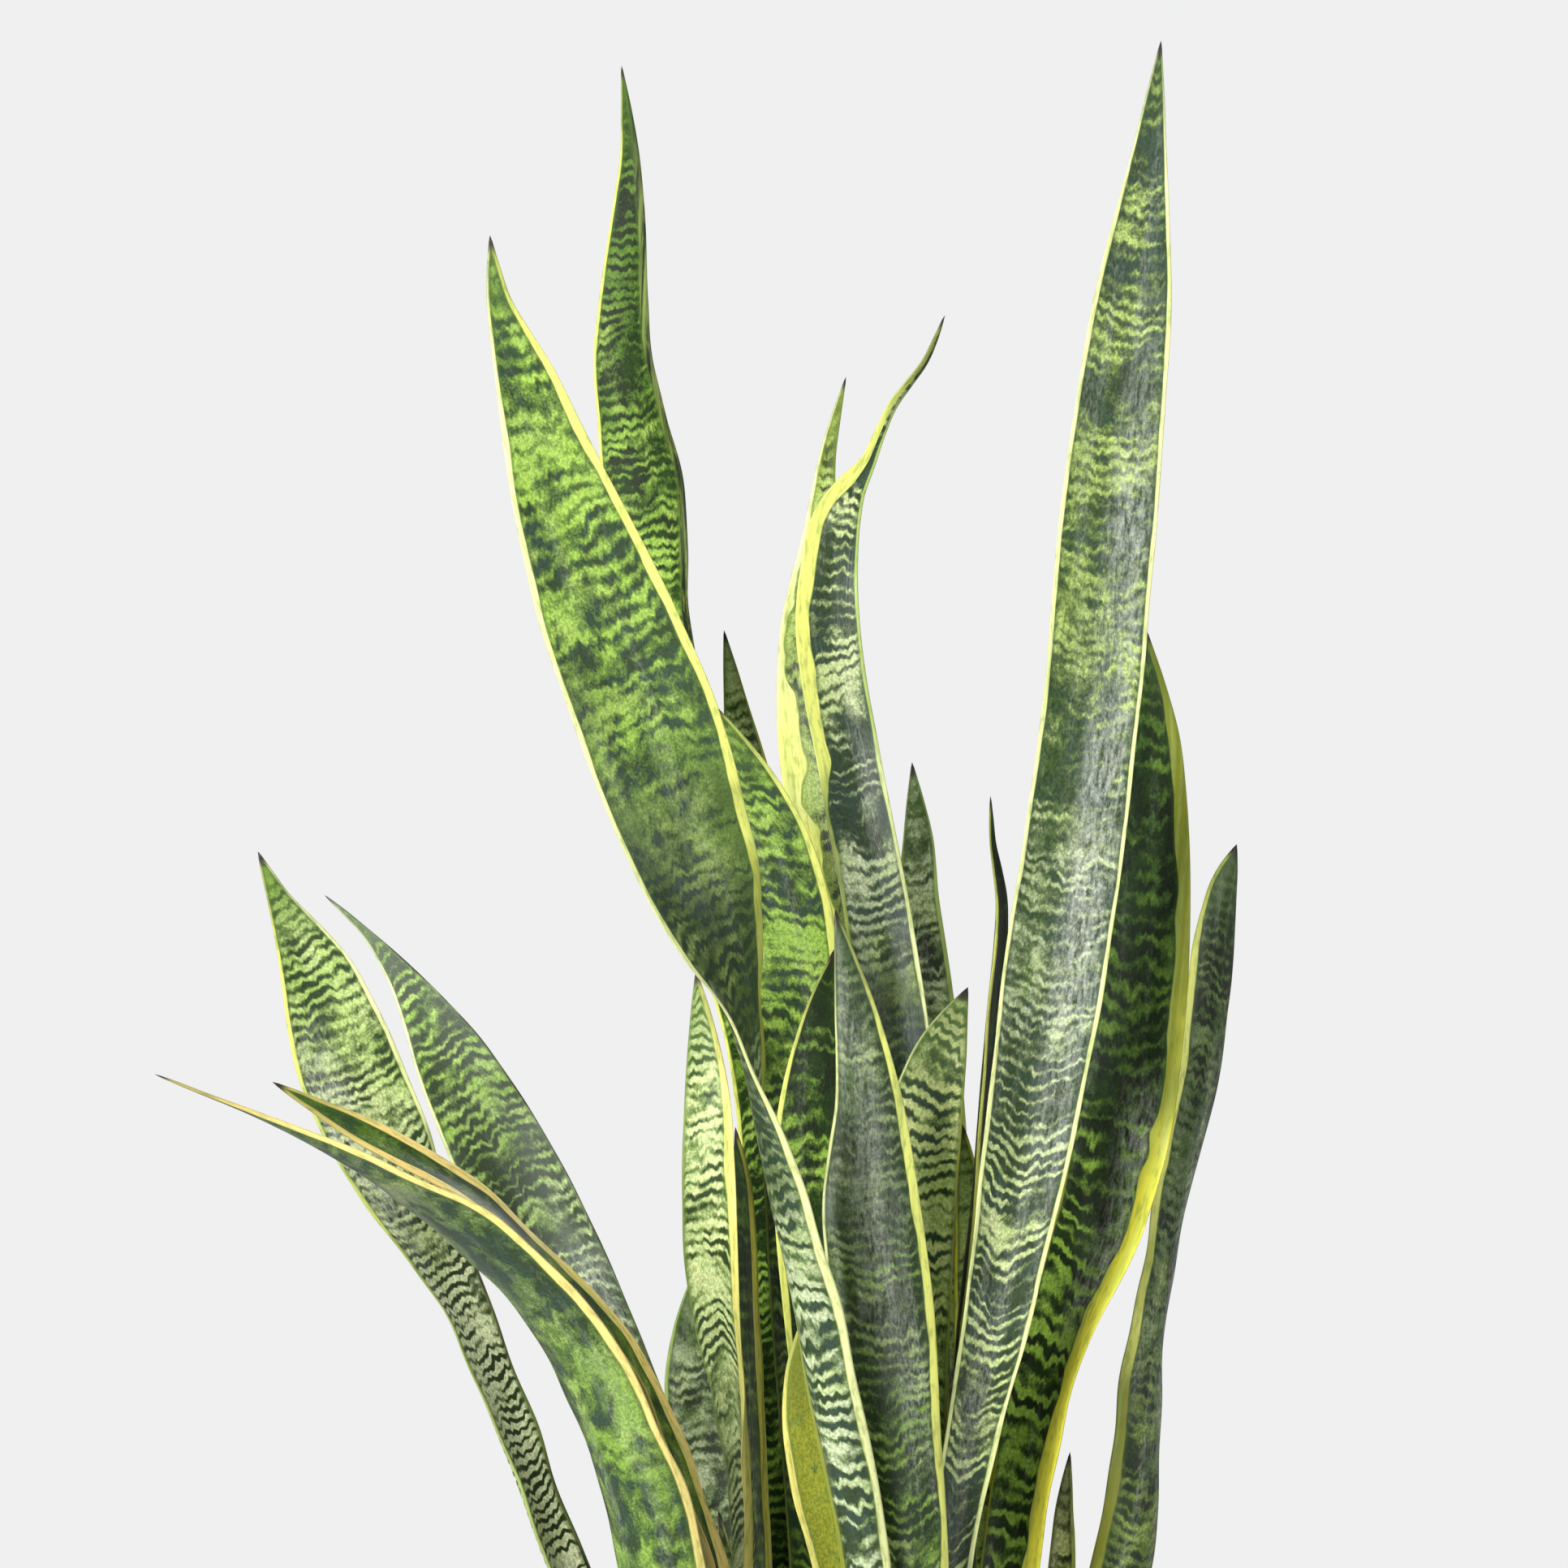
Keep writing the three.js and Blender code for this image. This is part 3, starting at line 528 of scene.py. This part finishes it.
def leaf_piece(node, seed):
    """A fine leaf through the CAD leaf's rings, with rounded margins and rippling sides."""
    rings, tip = leaf_rings(node)
    middle = (rings[:, 2] + rings[:, 6]) / 2
    across = rings[:, 0] - rings[:, 4]
    width = np.linalg.norm(across, axis=1)
    across = across / width[:, None]
    inward = unit(rings[:, 2] - rings[:, 6])
    thick = np.linalg.norm(rings[:, 2] - rings[:, 6], axis=1)
    cup = np.sum(((rings[:, 0] + rings[:, 4]) / 2 - middle) * inward, axis=1)

    spine = np.vstack([middle, tip])
    knots = np.concatenate([[0], np.cumsum(np.linalg.norm(np.diff(spine, axis=0), axis=1))])
    length = knots[-1]
    rows = int(length / LEAF_STEP)
    at = np.linspace(0, length, rows + 1)[:-1]
    place = smooth_through(knots, spine, at)
    side_way = unit(smooth_through(knots, np.vstack([across, across[-1]]), at))
    face_way = smooth_through(knots, np.vstack([inward, inward[-1]]), at)
    face_way = unit(face_way - np.sum(face_way * side_way, axis=1)[:, None] * side_way)
    half = smooth_through(knots, np.append(width, 0.6 * MM), at) / 2
    depth = smooth_through(knots, np.append(cup, 0), at)
    body = smooth_through(knots, np.append(thick, 0.5 * MM), at) / 2

    random = np.random.default_rng(seed)
    phase = random.uniform(0, 2 * math.pi, 4)
    inner_turn = np.linspace(0, math.pi, LEAF_COLUMNS + 1)
    turns = np.concatenate([inner_turn, math.pi + inner_turn[1:-1]])
    u = np.cos(turns)
    face = np.sign(np.sin(turns + 1e-9))
    face[[0, LEAF_COLUMNS]] = 0
    bulge = np.sqrt(np.clip(1 - np.abs(u) ** EDGE_POWER, 0, 1))

    swell = np.sin(math.pi * np.clip(at / length, 0, 1)) ** 0.7
    narrow = np.clip(half / (20 * MM), 0, 1)
    beat = at / RIPPLE_LENGTH
    wave_left = np.sin(6.3 * beat + phase[0]) + 0.5 * np.sin(9 * beat + phase[1])
    wave_right = np.sin(5.1 * beat + phase[2]) + 0.5 * np.sin(11 * beat + phase[3])
    ripple = np.where(u[None, :] > 0, wave_right[:, None], wave_left[:, None])
    ripple = ripple * (RIPPLE * swell * narrow)[:, None] * np.abs(u[None, :]) ** 3

    out = u[None, :] * half[:, None]
    lift = depth[:, None] * u[None, :] ** 2 + face[None, :] * bulge[None, :] * body[:, None] + ripple
    points = place[:, None, :] + out[..., None] * side_way[:, None, :]
    points = points + lift[..., None] * face_way[:, None, :]

    columns = len(turns)
    points = np.vstack([points.reshape(-1, 3), tip])
    index = np.arange(rows * columns).reshape(rows, columns)
    right = np.roll(index, -1, axis=1)
    quads = np.stack([index[:-1], right[:-1], right[1:], index[1:]], axis=-1).reshape(-1, 4)
    cap = [(int(a), int(b), rows * columns) for a, b in zip(index[-1], right[-1])]
    mesh = bpy.data.meshes.new(node + "_blade")
    mesh.from_pydata(points.tolist(), [], quads.tolist() + cap + foot_faces(columns))
    piece = bpy.data.objects.new(node + "_blade", mesh)
    bpy.context.scene.collection.objects.link(piece)

    shape = (rows, columns)
    grain = np.zeros((len(points), 3))
    grain[:-1, 0] = (out / MM).ravel()
    grain[:-1, 1] = (np.broadcast_to(at[:, None], shape) / MM).ravel()
    grain[:-1, 2] = np.broadcast_to(np.where(face >= 0, 1.0, 0.0), shape).ravel()
    grain[-1] = (0, length / MM, 1)
    rim = np.zeros(len(points))
    rim[:-1] = ((half[:, None] * (1 - np.abs(u))[None, :]) / MM).ravel()
    mesh.attributes.new("grain", "FLOAT_VECTOR", "POINT").data.foreach_set("vector", grain.ravel())
    widest = int(np.argmax(width))
    facing = 1 if rings[widest, 0, 0] > rings[widest, 4, 0] else -1
    spread = np.append(np.broadcast_to(facing * u[None, :], shape).ravel(), 0.0)
    mesh.attributes.new("rim", "FLOAT", "POINT").data.foreach_set("value", rim)
    mesh.attributes.new("spread", "FLOAT", "POINT").data.foreach_set("value", spread)
    mesh.attributes.new("tip", "FLOAT", "POINT").data.foreach_set("value", length / MM - grain[:, 1])
    mesh.attributes.new("stalk", "FLOAT", "POINT").data.foreach_set("value", grain[:, 1])
    mesh.polygons.foreach_set("use_smooth", [True] * len(mesh.polygons))
    face_outwards(mesh)
    return piece


def face_outwards(mesh):
    shell = bmesh.new()
    shell.from_mesh(mesh)
    bmesh.ops.recalc_face_normals(shell, faces=shell.faces)
    shell.to_mesh(mesh)
    shell.free()


def settle(piece, node, material):
    """Gives a piece its material and body, and hides the CAD node that it stands for."""
    piece.data.materials.append(material)
    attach(piece, "root")
    if node:
        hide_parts(node)


slots = {part["node"]: part["material_slot"] for part in frame["record"]["subparts"]}


def make_leaves():
    for seed, (node, (base, changes)) in enumerate(LEAF_LOOKS.items()):
        look = {**LOOKS[base], **changes}
        piece = leaf_piece(node, seed)
        settle(piece, node, leaf_material(node + "_skin", look, 3.7 * seed))


make_leaves()


# ---------- pot ----------


def new_piece(name, points, faces, smooth=True):
    mesh = bpy.data.meshes.new(name)
    mesh.from_pydata(np.asarray(points).tolist(), [], [tuple(int(i) for i in face) for face in faces])
    mesh.polygons.foreach_set("use_smooth", [smooth] * len(mesh.polygons))
    piece = bpy.data.objects.new(name, mesh)
    bpy.context.scene.collection.objects.link(piece)
    face_outwards(mesh)
    return piece


def turned(name, profile, sides):
    """A closed body turned about Z from a profile of (radius, height) whose two ends are on the axis."""
    inner = np.array(profile[1:-1])
    angles = 2 * math.pi * np.arange(sides) / sides
    rings = np.stack([np.outer(inner[:, 0], np.cos(angles)), np.outer(inner[:, 0], np.sin(angles)),
                      np.repeat(inner[:, 1:], sides, axis=1)], axis=-1).reshape(-1, 3)
    points = np.vstack([rings, [0, 0, profile[0][1]], [0, 0, profile[-1][1]]])
    index = np.arange(len(rings)).reshape(len(inner), sides)
    beside = np.roll(index, -1, axis=1)
    faces = np.stack([index[:-1], beside[:-1], beside[1:], index[1:]], axis=-1).reshape(-1, 4).tolist()
    for pole, row, next_row in ((len(rings), index[0], beside[0]), (len(rings) + 1, index[-1], beside[-1])):
        faces += [(pole, a, b) for a, b in zip(row, next_row)]
    return new_piece(name, points, faces)


def rounded(corners, step):
    """A polyline with each corner, (radius, height, rounding), cut by an arc, and points each step."""
    corners = [(np.array(corner[:2]), corner[2]) for corner in corners]
    path = [corners[0][0]]
    for (before, _), (corner, reach), (after, _) in zip(corners, corners[1:], corners[2:]):
        start = corner + reach * (before - corner) / np.linalg.norm(before - corner)
        end = corner + reach * (after - corner) / np.linalg.norm(after - corner)
        for t in np.linspace(0, 1, 7):
            path.append((1 - t) ** 2 * start + 2 * t * (1 - t) * corner + t ** 2 * end)
    path.append(corners[-1][0])
    dense = [path[0]]
    for point in path[1:]:
        gap = np.linalg.norm(point - dense[-1])
        count = max(1, round(gap / step))
        dense += [dense[-1] + (point - dense[-1]) * i / count for i in range(1, count + 1)]
    return dense


def applied(piece):
    """Replaces a piece's mesh by what its modifiers make of it."""
    graph = bpy.context.evaluated_depsgraph_get()
    made = bpy.data.meshes.new_from_object(piece.evaluated_get(graph))
    piece.modifiers.clear()
    piece.data = made


def wall_radius(height):
    top_radius = POT["rim_radius"] - POT["rim_proud"]
    return POT["foot_radius"] + (top_radius - POT["foot_radius"]) * height / POT["height"]


def make_pot():
    top, floor, wall = POT["height"], POT["floor"], POT["wall"]
    band = top - POT["rim_height"]
    corners = [
        (0, 0, 0),
        (POT["foot_radius"], 0, 3.5 * MM),
        (wall_radius(band - 4 * MM), band - 4 * MM, 3 * MM),
        (POT["rim_radius"], band + 1.5 * MM, 4 * MM),
        (POT["rim_radius"], top, 3.6 * MM),
        (wall_radius(top) - wall, top, 3.6 * MM),
        (wall_radius(floor) - wall, floor, 8 * MM),
        (0, floor, 0),
    ]
    profile = rounded(corners, 2.2 * MM)
    random = np.random.default_rng(5)
    lines = [(random.uniform(0.5, 2.2), random.uniform(0, 6), random.uniform(0.04, 0.11)) for _ in range(5)]

    def thrown(radius, height):
        """Turning lines: faint rings left in the wall."""
        swell = sum(size * math.sin(height / MM / pitch + shift) for pitch, shift, size in lines)
        inset = min(1.0, height / (20 * MM)) if radius > 0.6 * POT["foot_radius"] else 0.0
        return radius + MM * swell * inset

    pot = turned("pot_body", [(thrown(r, z), z) for r, z in profile], 144)
    cutters = []
    for i in range(POT["holes"]):
        angle = 2 * math.pi * i / POT["holes"]
        drill = turned("drill", [(0, -20 * MM), (POT["hole_radius"], -20 * MM),
                                 (POT["hole_radius"], 30 * MM), (0, 30 * MM)], 32)
        drill.location = (POT["hole_ring"] * math.cos(angle), POT["hole_ring"] * math.sin(angle), 0)
        cut = pot.modifiers.new("hole", "BOOLEAN")
        cut.operation = "DIFFERENCE"
        cut.solver = "EXACT"
        cut.object = drill
        cutters.append(drill)
    applied(pot)
    for drill in cutters:
        bpy.data.objects.remove(drill)
    shell = bmesh.new()
    shell.from_mesh(pot.data)
    bmesh.ops.remove_doubles(shell, verts=shell.verts, dist=0.02 * MM)
    bmesh.ops.dissolve_degenerate(shell, edges=shell.edges, dist=0.01 * MM)
    shell.to_mesh(pot.data)
    shell.free()
    pot.data.set_sharp_from_angle(angle=math.radians(50))

    s = Shader("pot_stoneware")
    place = s.node("ShaderNodeTexCoord").outputs["Object"]
    cloud = s.noise(place, scale=9.0, detail=4.0)
    speck = s.step(s.noise(place, scale=620.0, detail=1.0), 0.66, 0.74)
    clay = s.mix(s.step(cloud, 0.35, 0.70), (0.50, 0.46, 0.39), (0.42, 0.385, 0.325))
    clay = s.mix(s.math("MULTIPLY", speck, 0.55), clay, (0.16, 0.12, 0.085))
    height = s.split(place)[2]
    clay = s.mix(s.math("MULTIPLY", s.step(height, 0.022, 0.0), 0.30), clay, (0.25, 0.21, 0.17))
    s.bump(s.noise(place, scale=420.0, detail=3.0), 0.25 * MM, 0.5)
    gloss = s.math("MULTIPLY_ADD", cloud, 0.18, 0.60)
    settle(pot, "pot", s.finish(clay, gloss))


# ---------- soil ----------


def make_soil():
    """The CAD soil, pockets and all, strewn with clods and chips of bark and fused into one skin."""
    low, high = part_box("soil")
    random = np.random.default_rng(11)
    points, faces = [], []

    def add(vertices, triangles):
        start = len(points)
        points.extend(vertices)
        faces.extend([tuple(i + start for i in face) for face in triangles])

    source = frame["nodes"]["soil"].data
    add([tuple(v.co) for v in source.vertices], [tuple(p.vertices) for p in source.polygons])
    ball = bmesh.new()
    bmesh.ops.create_icosphere(ball, subdivisions=1, radius=1.0)
    unit_points = np.array([v.co for v in ball.verts])
    unit_faces = [tuple(v.index for v in face.verts) for face in ball.faces]
    ball.free()
    reach = high.x - 9 * MM
    leaf_feet = np.array([v.co for node in LEAF_LOOKS for v in frame["nodes"][node].data.vertices])
    leaf_feet = leaf_feet[(leaf_feet[:, 2] > low.z) & (leaf_feet[:, 2] < high.z + 90 * MM)]
    for _ in range(SOIL_CLODS):
        radius, angle = reach * math.sqrt(random.uniform()), random.uniform(0, 2 * math.pi)
        place = np.array([radius * math.cos(angle), radius * math.sin(angle)])
        size = MM * (1.6 + 3.6 * random.uniform() ** 2)
        if np.min(np.linalg.norm(leaf_feet[:, :2] - place, axis=1)) < 6 * MM + size:
            continue
        crown = high.z - (high.z - SOIL_EDGE_Z) * (radius / high.x) ** 2
        squash = random.uniform(0.45, 0.9)
        spin = random.uniform(0, math.pi)
        lump = unit_points * (1 + 0.25 * random.standard_normal((len(unit_points), 1)))
        lump = lump * (size * random.uniform(0.8, 1.9), size, size * squash)
        cos, sin = math.cos(spin), math.sin(spin)
        lump = lump @ np.array([[cos, sin, 0], [-sin, cos, 0], [0, 0, 1]])
        add((lump + (place[0], place[1], crown - 0.1 * size)).tolist(), unit_faces)
    soil = new_piece("soil_fill", points, faces)
    fuse = soil.modifiers.new("fuse", "REMESH")
    fuse.mode = "VOXEL"
    fuse.voxel_size = 2.0 * MM
    fuse.adaptivity = 1.0 * MM
    applied(soil)
    soil.data.polygons.foreach_set("use_smooth", [True] * len(soil.data.polygons))

    s = Shader("soil_mix")
    place = s.node("ShaderNodeTexCoord").outputs["Object"]
    cells = s.node("ShaderNodeTexVoronoi", feature="F1")
    s.put(cells.inputs["Vector"], place)
    cells.inputs["Scale"].default_value = 190.0
    kind = s.split(cells.outputs["Color"])[0]
    damp = s.step(s.noise(place, scale=60.0, detail=4.0), 0.35, 0.7)
    loam = s.mix(damp, (0.022, 0.014, 0.009), (0.065, 0.042, 0.026))
    loam = s.mix(s.step(kind, 0.70, 0.72), loam, (0.13, 0.075, 0.038))
    loam = s.mix(s.step(kind, 0.955, 0.96), loam, (0.52, 0.49, 0.42))
    s.bump(s.noise(place, scale=700.0, detail=4.0), 0.8 * MM, 0.8)
    settle(soil, "soil", s.finish(loam, s.math("MULTIPLY_ADD", kind, 0.1, 0.86)))


# ---------- rhizomes ----------


def make_rhizome(node):
    """A stout buried stem with leaf scars round it, as long and thick as its CAD node."""
    points = np.array([v.co for v in frame["nodes"][node].data.vertices])
    centre = (points.min(0) + points.max(0)) / 2
    axis = np.linalg.eigh(np.cov((points - centre).T))[1][:, -1]
    reach = (points - centre) @ axis
    half = reach.max()
    thick = np.linalg.norm(points - centre - np.outer(reach, axis), axis=1).max()
    profile = [(0, -half)]
    for place in np.linspace(-half, half, 90)[1:-1]:
        end = (half - abs(place)) / thick
        body = thick * min(1.0, math.sqrt(max(0.0, 1 - (1 - min(1, end / 1.1)) ** 2)))
        scar = math.exp(-((place / MM + half / MM) % 9.0 - 4.5) ** 2 / 0.9)
        profile.append((body * (1 - 0.055 * scar), place))
    profile.append((0, half))
    stem = turned(node + "_stem", profile, 40)
    turn = Vector((0, 0, 1)).rotation_difference(Vector(axis)).to_matrix().to_4x4()
    turn.translation = centre
    stem.data.transform(turn)

    s = Shader(node + "_rind")
    place = s.node("ShaderNodeTexCoord").outputs["Object"]
    cloud = s.step(s.noise(place, scale=70.0, detail=4.0), 0.35, 0.7)
    spots = s.step(s.noise(place, scale=260.0, detail=2.0), 0.60, 0.75)
    rind = s.mix(cloud, (0.50, 0.28, 0.10), (0.62, 0.42, 0.20))
    rind = s.mix(spots, rind, (0.16, 0.09, 0.04))
    s.bump(s.noise(place, scale=300.0, detail=3.0), 0.4 * MM, 0.6)
    rough = s.math("MULTIPLY_ADD", s.noise(place, scale=90.0), 0.2, 0.6)
    settle(stem, node, s.finish(rind, rough))


make_pot()
make_soil()
for name in sorted(slots):
    if name.startswith("rhizome"):
        make_rhizome(name)

# ---------- light, floor and camera ----------


def softbox(name, place, size, power, tint=(1, 1, 1), height=None):
    lamp = bpy.data.lights.new(name, "AREA")
    lamp.energy = power
    lamp.size = size
    if height:
        lamp.shape = "RECTANGLE"
        lamp.size_y = height
    lamp.color = tint
    holder = bpy.data.objects.new(name, lamp)
    bpy.context.scene.collection.objects.link(holder)
    holder.location = place
    aim = Vector((0, 0, 0.7)) - Vector(place)
    holder.rotation_euler = aim.to_track_quat("-Z", "Y").to_euler()


def make_stage():
    angles = 2 * math.pi * np.arange(96) / 96
    rim = np.stack([FLOOR_RADIUS * np.cos(angles), FLOOR_RADIUS * np.sin(angles), 0 * angles], axis=1)
    floor = new_piece("floor", rim, [range(96)], smooth=False)
    floor.location.z = -0.5 * MM
    s = Shader("floor_paper")
    place = s.node("ShaderNodeTexCoord").outputs["Object"]
    paper = s.mix(s.noise(place, scale=3.0), (0.56, 0.56, 0.56), (0.60, 0.60, 0.60))
    away = s.node("ShaderNodeVectorMath", operation="LENGTH")
    s.put(away.inputs[0], place)
    s.put(s.surface.inputs["Alpha"], s.step(away.outputs["Value"], FLOOR_RADIUS - 0.05, 0.55 * FLOOR_RADIUS))
    floor.data.materials.append(s.finish(paper, 0.8))

    softbox("key_light", (-1.5, -2.3, 2.0), 0.9, 88, (1, 0.985, 0.95))
    softbox("strip_light", (-2.3, -2.2, 0.9), 0.5, 66, height=2.2)
    softbox("fill_light", (2.4, -1.4, 1.2), 1.8, 20)
    softbox("low_light", (0.5, -2.4, 0.15), 0.9, 6)
    softbox("back_light", (0.8, 2.4, 2.0), 1.6, 26)

    # The background is seen as a pale even grey, and lights the plant more softly.
    world = bpy.data.worlds.new("studio")
    bpy.context.scene.world = world
    world.use_nodes = True
    tree = world.node_tree
    seen = tree.nodes.new("ShaderNodeBackground")
    seen.inputs[0].default_value = (0.87, 0.87, 0.872, 1)
    lit = tree.nodes["Background"]
    lit.inputs[0].default_value = (0.97, 0.98, 1.0, 1)
    ray = tree.nodes.new("ShaderNodeLightPath")
    dimmed = tree.nodes.new("ShaderNodeMath")
    dimmed.operation = "MULTIPLY_ADD"
    dimmed.inputs[1].default_value = -0.24
    dimmed.inputs[2].default_value = 0.42
    tree.links.new(ray.outputs["Is Glossy Ray"], dimmed.inputs[0])
    tree.links.new(dimmed.outputs[0], lit.inputs[1])
    pick = tree.nodes.new("ShaderNodeMixShader")
    tree.links.new(ray.outputs["Is Camera Ray"], pick.inputs[0])
    tree.links.new(lit.outputs[0], pick.inputs[1])
    tree.links.new(seen.outputs[0], pick.inputs[2])
    tree.links.new(pick.outputs[0], tree.nodes["World Output"].inputs[0])
    bpy.context.scene.view_settings.view_transform = "Standard"


def make_camera():
    camera = bpy.data.objects.new("camera", bpy.data.cameras.new("camera"))
    camera.data.lens = CAMERA_LENS_MM
    camera.data.clip_end = 50
    camera.location = CAMERA_PLACE
    camera.rotation_euler = (math.pi / 2, 0, 0)
    bpy.context.scene.collection.objects.link(camera)
    bpy.context.scene.camera = camera


make_stage()
make_camera()
